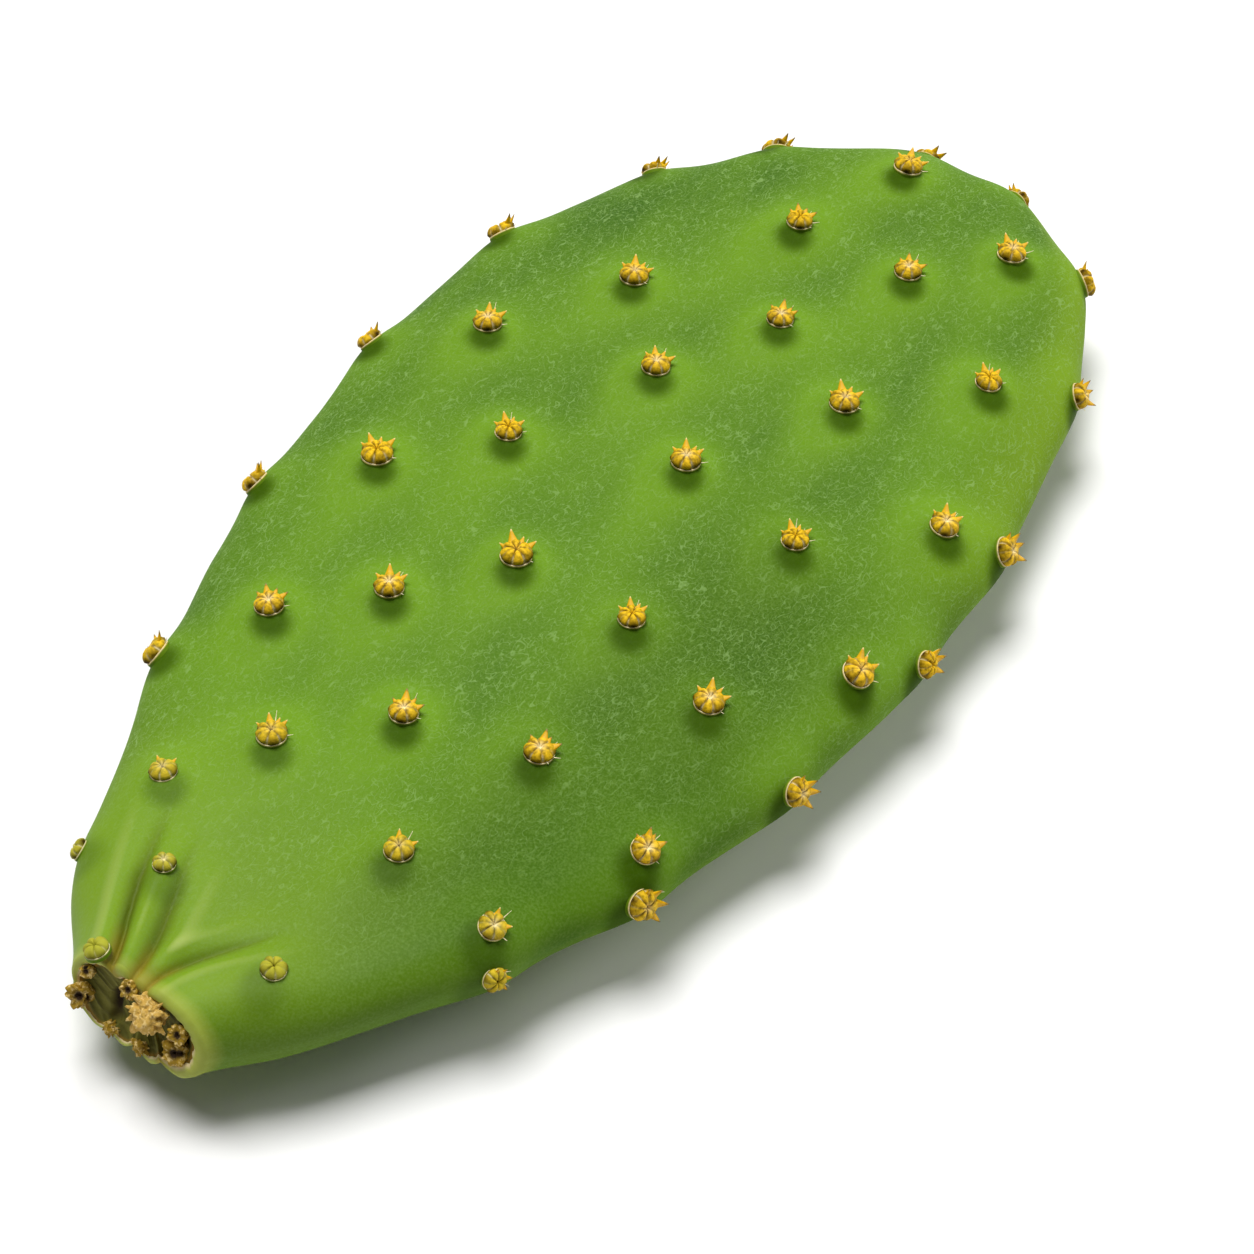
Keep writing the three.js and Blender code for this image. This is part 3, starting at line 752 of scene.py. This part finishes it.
def list_spines():
    """Each spine's crown, turn, size and lift, as columns that broadcast over its rings and sides."""
    rows = []
    for i in INDEX:
        kinds = MARGIN_SPINES if AT_FACE[i] == 0 else FACE_SPINES
        for k, (turn, size, lift) in enumerate(kinds):
            drawn = size * GROWN[i] * (1 + SPINE_SPREAD * spread(i * 5 + k, 8))
            if drawn >= LEAST_SPINE:
                rows.append((i, turn + SPINE_TURN_SPREAD * spread(i * 5 + k, 9), drawn, lift * drawn))
    crowns, turn, drawn, lift = (np.array(column)[:, None, None] for column in zip(*rows))
    return crowns.ravel(), turn, drawn, lift


def build_spines(material):
    """Short stout spines: cones along a curve that starts inside a lobe and bends upwards, as wide at
    the foot as the lobe, flatter than wide, and thinning in a hollow curve to a blunt point. On the
    margin and on some crowns of the faces the tips are burnt."""
    crowns, turn, drawn, lift = list_spines()
    v, around = tube_grid(SPINE_RINGS, SPINE_SIDES)
    radius = mix(SPINE_FROM, CROWN_RADIUS + SPINE_REACH * drawn, v)
    thick = mix(SPINE_TIP, SPINE_FOOT, (1 - v) ** SPINE_HOLLOW) * mix(SLIM_SPINE, 1, drawn)
    sideways = thick * np.cos(around)
    height = mix(SPINE_LOW, SPINE_HIGH + lift, v ** SPINE_BEND) + SPINE_FLATNESS * thick * np.sin(around)
    angle = np.radians(turn) + np.arctan2(sideways, radius)
    points = place_on_crowns(angle, np.hypot(sideways, radius), height, crowns)
    # A faint painted highlight along the spine's top
    crest = bell((around - HIGHLIGHT_AT) / HIGHLIGHT_WIDTH) * clamp01(v * 3)
    burnt = np.where(AT_FACE[crowns] == 0, 1.0, spread(crowns, 15) > 0.4)[:, None, None]
    dark = BURNT_DARK * burnt * ease((v - BURNT_FROM) / BURNT_RISE)
    values = tissue_values(points.shape[:3], pale=HIGHLIGHT_PALE * crest, dark=dark, tip=v)
    faces = tube_faces(SPINE_RINGS, SPINE_SIDES, len(crowns))
    make_piece("areole_spines", points, faces, material, values)


def build_bristles(material):
    """Pale bristles that stand at the rim of about half the places on grown crowns: thin cones along a
    curve that bends upwards."""
    shape = (AREOLES, len(BRISTLES))
    every = np.arange(AREOLES * len(BRISTLES)).reshape(shape)
    turn, length, lift = (np.broadcast_to(column, shape) for column in zip(*BRISTLES))
    crowns = np.broadcast_to(INDEX[:, None], shape)
    shown = (GROWN[crowns] > BRISTLED_FROM) & (spread(every, 11) > 0)
    crowns, every = crowns[shown], every[shown]
    turn = turn[shown] + BRISTLE_TURN_SPREAD * spread(every, 12)
    length = length[shown] * (1 + BRISTLE_SPREAD * spread(every, 13))
    turn, length, lift = (values[:, None, None] for values in (turn, length, lift[shown]))
    v, around = tube_grid(BRISTLE_RINGS, BRISTLE_SIDES)
    thick = mix(BRISTLE_FOOT, BRISTLE_TIP, v) + 0 * around
    radius = BRISTLE_FROM + length * v + 0 * around
    sideways = thick * np.cos(around)
    height = BRISTLE_LOW + lift * length * v ** BRISTLE_BEND + thick * np.sin(around)
    points = place_on_crowns(np.radians(turn) + np.arctan2(sideways, radius), radius, height, crowns)
    faces = tube_faces(BRISTLE_RINGS, BRISTLE_SIDES, len(crowns))
    make_piece("areole_bristles", points, faces, material, tissue_values(points.shape[:3], pale=1.0))


# The cut

def build_scar(edge, material):
    """The scar is the lip's inner edge drawn in towards its middle and hollowed a little, with fibres
    that run aslant through the thickness, and pits."""
    share = np.linspace(1, SCAR_MIDDLE, SCAR_RINGS)[:, None]
    points = mix(edge.mean(0), edge[None], share[..., None])
    x, y, z = np.moveaxis(points, -1, 0)
    fibre = noise(np.stack([x + z, y * FIBRE_FLATNESS, (x - z) * FIBRE_STRETCH], axis=-1), FIBRE_CELL, 3.1)
    pits = clamp01(noise(points * (1, 1, PIT_STRETCH), PIT_CELL, 9.4) - PIT_LEVEL)
    pits = pits * ease((1 - share) / PITS_INSIDE)
    deeper = SCAR_HOLLOW * (1 - share ** 2) + FIBRE_RISE * fibre + PIT_DEPTH * pits
    points = points + deeper[..., None] * (0, 1, 0)
    columns = len(edge)
    closed = np.concatenate([points.reshape(-1, 3), points[-1].mean(0)[None]])
    quads = ring_faces(SCAR_RINGS, columns)[:, ::-1]
    cap = fan_faces((SCAR_RINGS - 1) * columns, columns, SCAR_RINGS * columns)[:, ::-1]
    make_piece("cut_scar", closed, [quads, cap], material, {
        "fibre": np.append(fibre, 0),
        # Where the pits get painted shade
        "hollow": np.append(clamp01(pits * 2.5), 0),
        "crust": np.append(np.broadcast_to(1 - ease((1 - share) / CRUST_INSIDE), fibre.shape), 0),
    })


def lump_shape(ball, lift, index, hollow):
    """A lump's radius in each direction, and how deep in a dent that is. A crumb is cut by seeded
    planes and has ragged flakes round its side. A scab is a ball with two deep dents, on its axis and
    beside it, and a torn edge. Both are roughened by noise."""
    rough = sum(height * noise(ball, cell, index * step) for height, cell, step in LUMP_NOISES)
    normals = unit(np.random.default_rng(index + 5).normal(size=(CRUMB_PLANES, 3)))
    facing = np.maximum(ball @ normals.T, 0.05)
    flakes = bell((lift - FLAKES_AT) / FLAKES_BAND) * clamp01(noise(ball, 0.2, index * 4.3)) * FLAKES_RISE
    crumb = np.minimum((CRUMB_CUT / facing).min(-1), CRUMB_MOST) + flakes
    torn = bell((lift - TORN_AT) / TORN_BAND) * (TORN_RISE + TORN_SPREAD * noise(ball, 0.3, index * 2.3))
    beside = unit(CALLUS_AXIS + SIDE_DENT_LEAN * np.random.default_rng(index + 30).normal(size=3))
    apart = np.arccos(np.clip(ball @ beside, -1, 1)) + DENT_RAGGED * noise(ball, 0.5, index)
    side_dent = SIDE_DENT_SHARE * bell(apart / SIDE_DENT_WIDTH)
    dent = np.maximum(bell(lift / DENT_WIDTH), side_dent) * hollow
    return (1 - DENT_DEPTH * dent + torn if hollow else crumb) + rough, dent


def build_callus(rim, material):
    """Lumps of callus on the scar, each a ball whose radius changes with the direction."""
    lift, around = np.meshgrid(np.linspace(LUMP_POLE, pi - LUMP_POLE, LUMP_RINGS),
                               np.linspace(0, 2 * pi, LUMP_SIDES, endpoint=False), indexing="ij")
    axis = unit(CALLUS_AXIS)
    side = unit(np.cross(axis, (0, 0, 1.0)))
    parts = zip((np.sin(lift) * np.cos(around), np.sin(lift) * np.sin(around), np.cos(lift)),
                (side, np.cross(side, axis), axis))
    ball = sum(amount[..., None] * direction for amount, direction in parts)
    groups, hollows, tans = [], [], []
    each = LUMP_RINGS * LUMP_SIDES + 2
    for i, (angle, share, size, out, hollow) in enumerate(CALLUS):
        nearest = np.abs(np.angle(np.exp(1j * (skin_columns() - angle)))).argmin()
        seat = mix(rim.mean(0), rim[nearest], share) - (0, out, 0)
        radius, dent = lump_shape(ball, lift, i, hollow)
        points = seat + ball * (size * radius)[..., None]
        groups.append(np.concatenate([points.reshape(-1, 3), points[[0, -1]].mean(1)]))
        # Painted shade in the scabs' dents and wherever a lump sinks in
        shade = dent + 0.8 * clamp01(0.9 - radius)
        hollows.append(np.append(shade, [float(hollow), 0]))
        tans.append(np.full(each, float(not hollow) * ease((size - 0.8) / 1)))
    top = fan_faces(0, LUMP_SIDES, each - 2)[:, ::-1]
    bottom = fan_faces((LUMP_RINGS - 1) * LUMP_SIDES, LUMP_SIDES, each - 1)
    faces = [repeated_faces(group, len(CALLUS), each)
             for group in (ring_faces(LUMP_RINGS, LUMP_SIDES), top, bottom)]
    make_piece("cut_callus", np.concatenate(groups), faces, material, {
        "hollow": np.concatenate(hollows),
        "tan": np.concatenate(tans),
    })


# Materials

def srgb(code):
    """An sRGB hex colour as linear red, green, blue and alpha."""
    values = np.array([int(code[i:i + 2], 16) / 255 for i in (1, 3, 5)])
    linear = np.where(values <= 0.04045, values / 12.92, ((values + 0.055) / 1.055) ** 2.4)
    return (*linear.tolist(), 1.0)


def per(size):
    """A noise scale in Object coordinates, which are metres, for features of that many millimetres."""
    return 1 / (size * MM)


def connect(tree, made, inputs):
    """Sets each input of a node to a value, or links a socket to it."""
    for key, value in inputs.items():
        if isinstance(value, bpy.types.NodeSocket):
            tree.links.new(value, made.inputs[key])
        else:
            made.inputs[key].default_value = value


def node(tree, kind, inputs=None, **settings):
    """Adds a node with its settings, and gives its inputs their values or links."""
    made = tree.nodes.new(kind)
    for key, value in settings.items():
        setattr(made, key, value)
    connect(tree, made, inputs or {})
    return made


def new_material(name, attributes=()):
    """A material with the Principled shader on its output, and the mesh's values that it reads."""
    material = bpy.data.materials.new(name)
    material.use_nodes = True
    tree = material.node_tree
    tree.nodes.clear()
    shader = node(tree, "ShaderNodeBsdfPrincipled")
    node(tree, "ShaderNodeOutputMaterial", {"Surface": shader.outputs[0]})
    value = {key: node(tree, "ShaderNodeAttribute", attribute_name=key).outputs["Fac"]
             for key in attributes}
    return material, tree, shader, value


def paint(tree, colour, value, coats):
    """Lays coats over a colour. Each is given by the value it follows, from where that starts it to
    where it is full, how much it covers then, and its own colour."""
    for key, start, full, cover, code in coats:
        share = node(tree, "ShaderNodeMapRange", {0: value[key], 1: start, 2: full, 4: cover}).outputs[0]
        colour = node(tree, "ShaderNodeMix", {0: share, 6: colour, 7: srgb(code)},
                      data_type="RGBA").outputs[2]
    return colour


def finish_surface(tree, shader, colour, height, depth, strength, inputs):
    """Gives the shader its colour, a bump of that depth in millimetres, and its other inputs."""
    bump = node(tree, "ShaderNodeBump", {"Height": height, "Distance": depth * MM, "Strength": strength})
    connect(tree, shader, {"Base Color": colour, "Normal": bump.outputs[0], **inputs})


def bloom_strokes(tree, place, size, start, gate_size):
    """Fine curved strokes: the crests of a ridged noise above a height, where a wider noise lets them
    through. They are drawn out along the pad."""
    drawn_out = node(tree, "ShaderNodeMapping", {"Vector": place, "Scale": (1, 0.6, 1)}).outputs[0]
    crests = node(tree, "ShaderNodeTexNoise", {
        "Vector": drawn_out, "Scale": per(size), "Detail": 0, "Distortion": 0.7, "Offset": 1,
        "Gain": 2}, noise_type="RIDGED_MULTIFRACTAL").outputs[0]
    lines = node(tree, "ShaderNodeMapRange", {0: crests, 1: start, 2: 1}).outputs[0]
    wider = node(tree, "ShaderNodeTexNoise", {
        "Vector": place, "Scale": per(gate_size), "Detail": 1}).outputs[0]
    gate = node(tree, "ShaderNodeMapRange", {0: wider, 1: 0.32, 2: 0.48}).outputs[0]
    return node(tree, "ShaderNodeMath", {0: lines, 1: gate}, operation="MULTIPLY").outputs[0]


def wax_bloom(tree, place, value):
    """Strokes in two sizes, the finer ones weaker. They fade in the dark patches, in the painted shade on
    the right margin, near the cut and on crests."""
    wide = bloom_strokes(tree, place, size=1.05, start=0.86, gate_size=1.2)
    fine = bloom_strokes(tree, place, size=0.62, start=0.85, gate_size=0.8)
    fine = node(tree, "ShaderNodeMath", {0: fine, 1: 0.8}, operation="MULTIPLY").outputs[0]
    strokes = node(tree, "ShaderNodeMath", {0: wide, 1: fine}, operation="MAXIMUM").outputs[0]
    bare = node(tree, "ShaderNodeMapRange", {0: value["along"], 1: 30, 2: 5}).outputs[0]
    for key in ("bare_patch_and_shadow", "painted_shade"):
        bare = node(tree, "ShaderNodeMath", {0: bare, 1: value[key]}, operation="MAXIMUM").outputs[0]
    for source, start, full, left in ((bare, 0, 0.8, 0.12), (value["crest"], 0.1, 1.2, 0.5)):
        kept = node(tree, "ShaderNodeMapRange", {0: source, 1: start, 2: full, 3: 1, 4: left}).outputs[0]
        strokes = node(tree, "ShaderNodeMath", {0: strokes, 1: kept}, operation="MULTIPLY").outputs[0]
    return strokes


def waxy_skin():
    """Cuticle of a fleshy stem: satin, a little translucent, blue-green where its wax bloom lies thick
    and yellow-green where it is thin, with fine pale curved strokes in the bloom. Painted shade darkens
    it where it turns from the light, in the folds and in part of the dark patches by the areoles, and
    painted light brightens its right margin, its crests and the folds' raised edges. It is amber in the
    folds' ends, and cream on the lip."""
    material, tree, shader, value = new_material(
        "waxy_cuticle", ("along", "crest", "fold", "bare_patch_and_shadow", "painted_shade", "painted_dimming", "yellow_margin_and_painted_glow"))
    place = node(tree, "ShaderNodeTexCoord").outputs["Object"]
    lengthwise = node(tree, "ShaderNodeMapping", {"Vector": place, "Scale": (1, 0.4, 1)}).outputs[0]
    clouds = node(tree, "ShaderNodeTexNoise", {
        "Vector": lengthwise, "Scale": per(17), "Detail": 3, "Roughness": 0.55}).outputs[0]
    grain = node(tree, "ShaderNodeTexNoise", {"Vector": place, "Scale": per(0.35), "Detail": 2}).outputs[0]
    in_fold = node(tree, "ShaderNodeMapRange", {0: value["fold"], 1: 0.25, 2: 1.1}).outputs[0]
    at_cut = node(tree, "ShaderNodeMapRange", {0: value["along"], 1: 6, 2: 1, 4: 0.6}).outputs[0]
    amber = node(tree, "ShaderNodeMath", {0: in_fold, 1: at_cut}, operation="MULTIPLY").outputs[0]
    bloom = wax_bloom(tree, place, value)
    value.update(clouds=clouds, grain=grain, amber=amber, bloom=bloom)
    colour = paint(tree, srgb("#3d6120"), value, [
        ("clouds", 0.36, 0.6, 1, "#567c20"),
        # Lighter and yellower on the crests: partly thinner wax, partly painted light, which leaves
        # painted shade in the valleys
        ("crest", 0.05, 1.2, 0.9, "#6c9520"),
        ("along", 44, 4, 0.8, "#78961a"),
        # Painted shade: a broad zone towards the right margin, and the right margin near the cut
        ("painted_dimming", 0, 1, 0.6, "#2c4a10"),
        ("painted_shade", 0, 1, 0.45, "#335a04"),
        # A yellower, brighter right margin, partly its own colour and partly painted light, with a band of
        # painted glow under it
        ("yellow_margin_and_painted_glow", 0, 1, 0.8, "#7ea01c"),
        ("grain", 0.4, 0.7, 0.3, "#7a9a4a"),
        # Painted shade in the folds, and a painted highlight on their raised edges
        ("fold", 0.3, 1.4, 0.85, "#566410"),
        ("fold", -0.05, -0.35, 0.45, "#b4c070"),
        ("along", 1.8, -1.2, 0.8, "#b4b852"),
        ("amber", 0, 1, 1, "#94781c"),
        ("along", -1.2, -1.6, 1, "#e4d49e"),
        # Dark patches below the areoles: partly wax-free skin, partly painted shadow
        ("bare_patch_and_shadow", 0, 1, 0.92, "#334e02"),
        ("bloom", 0, 1, 0.55, "#93b46c"),
    ])
    pores = node(tree, "ShaderNodeTexNoise", {"Vector": place, "Scale": per(0.9), "Detail": 3}).outputs[0]
    uneven = node(tree, "ShaderNodeMath", {0: pores, 1: bloom}, operation="ADD").outputs[0]
    roughness = node(tree, "ShaderNodeMapRange", {0: clouds, 1: 0.3, 2: 0.7, 3: 0.45, 4: 0.6})
    gloss = node(tree, "ShaderNodeMapRange", {0: value["along"], 1: 45, 2: 5, 3: 0.02, 4: 0.12})
    finish_surface(tree, shader, colour, uneven, 0.05, 0.6, {
        "Roughness": roughness.outputs[0],
        "Specular IOR Level": gloss.outputs[0],
        "Subsurface Weight": 0.1,
        "Subsurface Radius": (1.0, 1.6, 0.3),
        "Subsurface Scale": 1.0 * MM,
    })
    return material


def felted_areole():
    """Dried woolly cushion and spines: matt golden tissue with cream seams, rusty brown in the pit and
    at the lobes' feet, greener on the youngest, and green where it runs into the skin. Painted shade
    darkens the moat inside the rim, the grooves and the lobes' flanks, and a faint painted highlight
    runs along each spine's top."""
    material, tree, shader, value = new_material("areole_tissue", TISSUE_VALUES)
    place = node(tree, "ShaderNodeTexCoord").outputs["Object"]
    speckle = node(tree, "ShaderNodeTexNoise", {
        "Vector": place, "Scale": per(0.45), "Detail": 3}).outputs[0]
    # Painted shade on the lobes' flanks takes away some of the bright felt
    painted_flank_shade = node(tree, "ShaderNodeMath", {0: value["painted_flank_shade"], 1: -0.32}, operation="MULTIPLY").outputs[0]
    value["felt"] = node(tree, "ShaderNodeMath", {0: speckle, 1: painted_flank_shade}).outputs[0]
    colour = paint(tree, srgb("#8f7208"), value, [
        ("felt", 0.14, 0.56, 1, "#f6c724"),
        ("young", 0, 1, 1, "#a8a834"),
        ("tip", 0.1, 0.6, 1, "#dca80a"),
        # Pale rim, seams, knob and bristles, and the spines' faint painted highlight
        ("pale", 0, 1, 1, "#fbf0c6"),
        ("tip", 0.86, 0.98, 0.6, "#f6e6b4"),
        # Dark: rusty brown at the lobes' feet and in the pit, burnt spine tips, and painted shade in the
        # moat and the grooves
        ("dark", 0, 1, 1, "#2c1603"),
        ("skirt", 0, 1, 1, "#5c7a10"),
    ])
    finish_surface(tree, shader, colour, speckle, 0.08, 0.7, {
        "Roughness": 0.5, "Specular IOR Level": 0.05})
    return material


def corky_scar():
    """Cork over the cut: dry olive-brown fibres, nearly black in the pits by painted shade, golden at the
    rim.
    """
    material, tree, shader, value = new_material("cut_cork", ("fibre", "hollow", "crust"))
    place = node(tree, "ShaderNodeTexCoord").outputs["Object"]
    colour = paint(tree, srgb("#4a480c"), value, [
        ("fibre", -0.5, 0.6, 1, "#7e7b34"),
        ("crust", 0, 1, 1, "#8a6a1e"),
        # Painted shade in the pits
        ("hollow", 0, 1, 1, "#2c1c06"),
    ])
    grain = node(tree, "ShaderNodeTexNoise", {"Vector": place, "Scale": per(0.4), "Detail": 4}).outputs[0]
    finish_surface(tree, shader, colour, grain, 0.15, 0.8, {
        "Roughness": 0.75, "Specular IOR Level": 0.2})
    return material


def dry_callus():
    """Callus, the scab that a wound grows: crumbly, golden on its crests and dark brown with painted
    shade in its hollows, tan where it is thickest."""
    material, tree, shader, value = new_material("dry_callus", ("hollow", "tan"))
    place = node(tree, "ShaderNodeTexCoord").outputs["Object"]
    grain = node(tree, "ShaderNodeTexNoise", {"Vector": place, "Scale": per(0.5), "Detail": 4}).outputs[0]
    value["grain"] = grain
    colour = paint(tree, srgb("#a08020"), value, [
        ("tan", 0, 1, 1, "#c8a24c"),
        ("grain", 0.5, 0.68, 1, "#ecd08a"),
        # Painted shade in the dents and sunken places
        ("hollow", 0.3, 0.85, 1, "#2f1d07"),
    ])
    finish_surface(tree, shader, colour, grain, 0.3, 1.0, {
        "Roughness": 0.7, "Specular IOR Level": 0.2})
    return material


# Studio

def towards(azimuth, elevation):
    """The unit vector from the pad in that direction, given in degrees."""
    turn, lift = radians(azimuth), radians(elevation)
    return Vector((sin(turn) * cos(lift), -cos(turn) * cos(lift), sin(lift)))


def set_up(name, data, back, place):
    """Puts a camera or a light at a place, facing against the vector."""
    item = add_object(name, data)
    item.location = place
    item.rotation_euler = back.to_track_quat("Z", "Y").to_euler()
    return item


def add_camera():
    """Looks down at the pad in the photograph's direction."""
    data = bpy.data.cameras.new("camera")
    data.lens = FOCAL_LENGTH
    data.sensor_width = SENSOR
    data.clip_start, data.clip_end = 0.01, 20
    back = towards(VIEW_AZIMUTH, VIEW_ELEVATION)
    place = (Vector(VIEW_TARGET) + back * VIEW_DISTANCE) * MM
    bpy.context.scene.camera = set_up("camera", data, back, place)


def add_floor():
    """A plain pale floor, wide enough to fill every view from above."""
    half = FLOOR_HALF
    mesh = bpy.data.meshes.new("floor")
    mesh.from_pydata([(-half, -half, 0), (half, -half, 0), (half, half, 0), (-half, half, 0)], [],
                     [(0, 1, 2, 3)])
    material, tree, shader, _ = new_material("matt_paper")
    connect(tree, shader, {"Base Color": srgb("#f6f5f4"), "Roughness": 0.9})
    mesh.materials.append(material)
    floor = add_object("floor", mesh)


def add_light():
    """A white room's faint light, a wide softbox high above and a little behind the pad, to its left,
    and a weaker one low on its right. All are white."""
    world = bpy.data.worlds.new("white_room")
    world.use_nodes = True
    background = world.node_tree.nodes["Background"]
    background.inputs["Color"].default_value = (1, 1, 1, 1)
    background.inputs["Strength"].default_value = ROOM_LIGHT
    bpy.context.scene.world = world
    for name, (turn, elevation, distance, size, power) in SOFTBOXES.items():
        data = bpy.data.lights.new(name, "AREA")
        data.size = size
        data.energy = power
        back = towards(VIEW_AZIMUTH + turn, elevation)
        set_up(name, data, back, back * distance)
    bpy.context.scene.view_settings.view_transform = "Standard"


add_camera()
add_floor()
add_light()
lip_edge, rim = build_skin(waxy_skin())
tissue = felted_areole()
build_crowns(tissue)
build_spines(tissue)
build_bristles(tissue)
build_scar(lip_edge, corky_scar())
build_callus(rim, dry_callus())
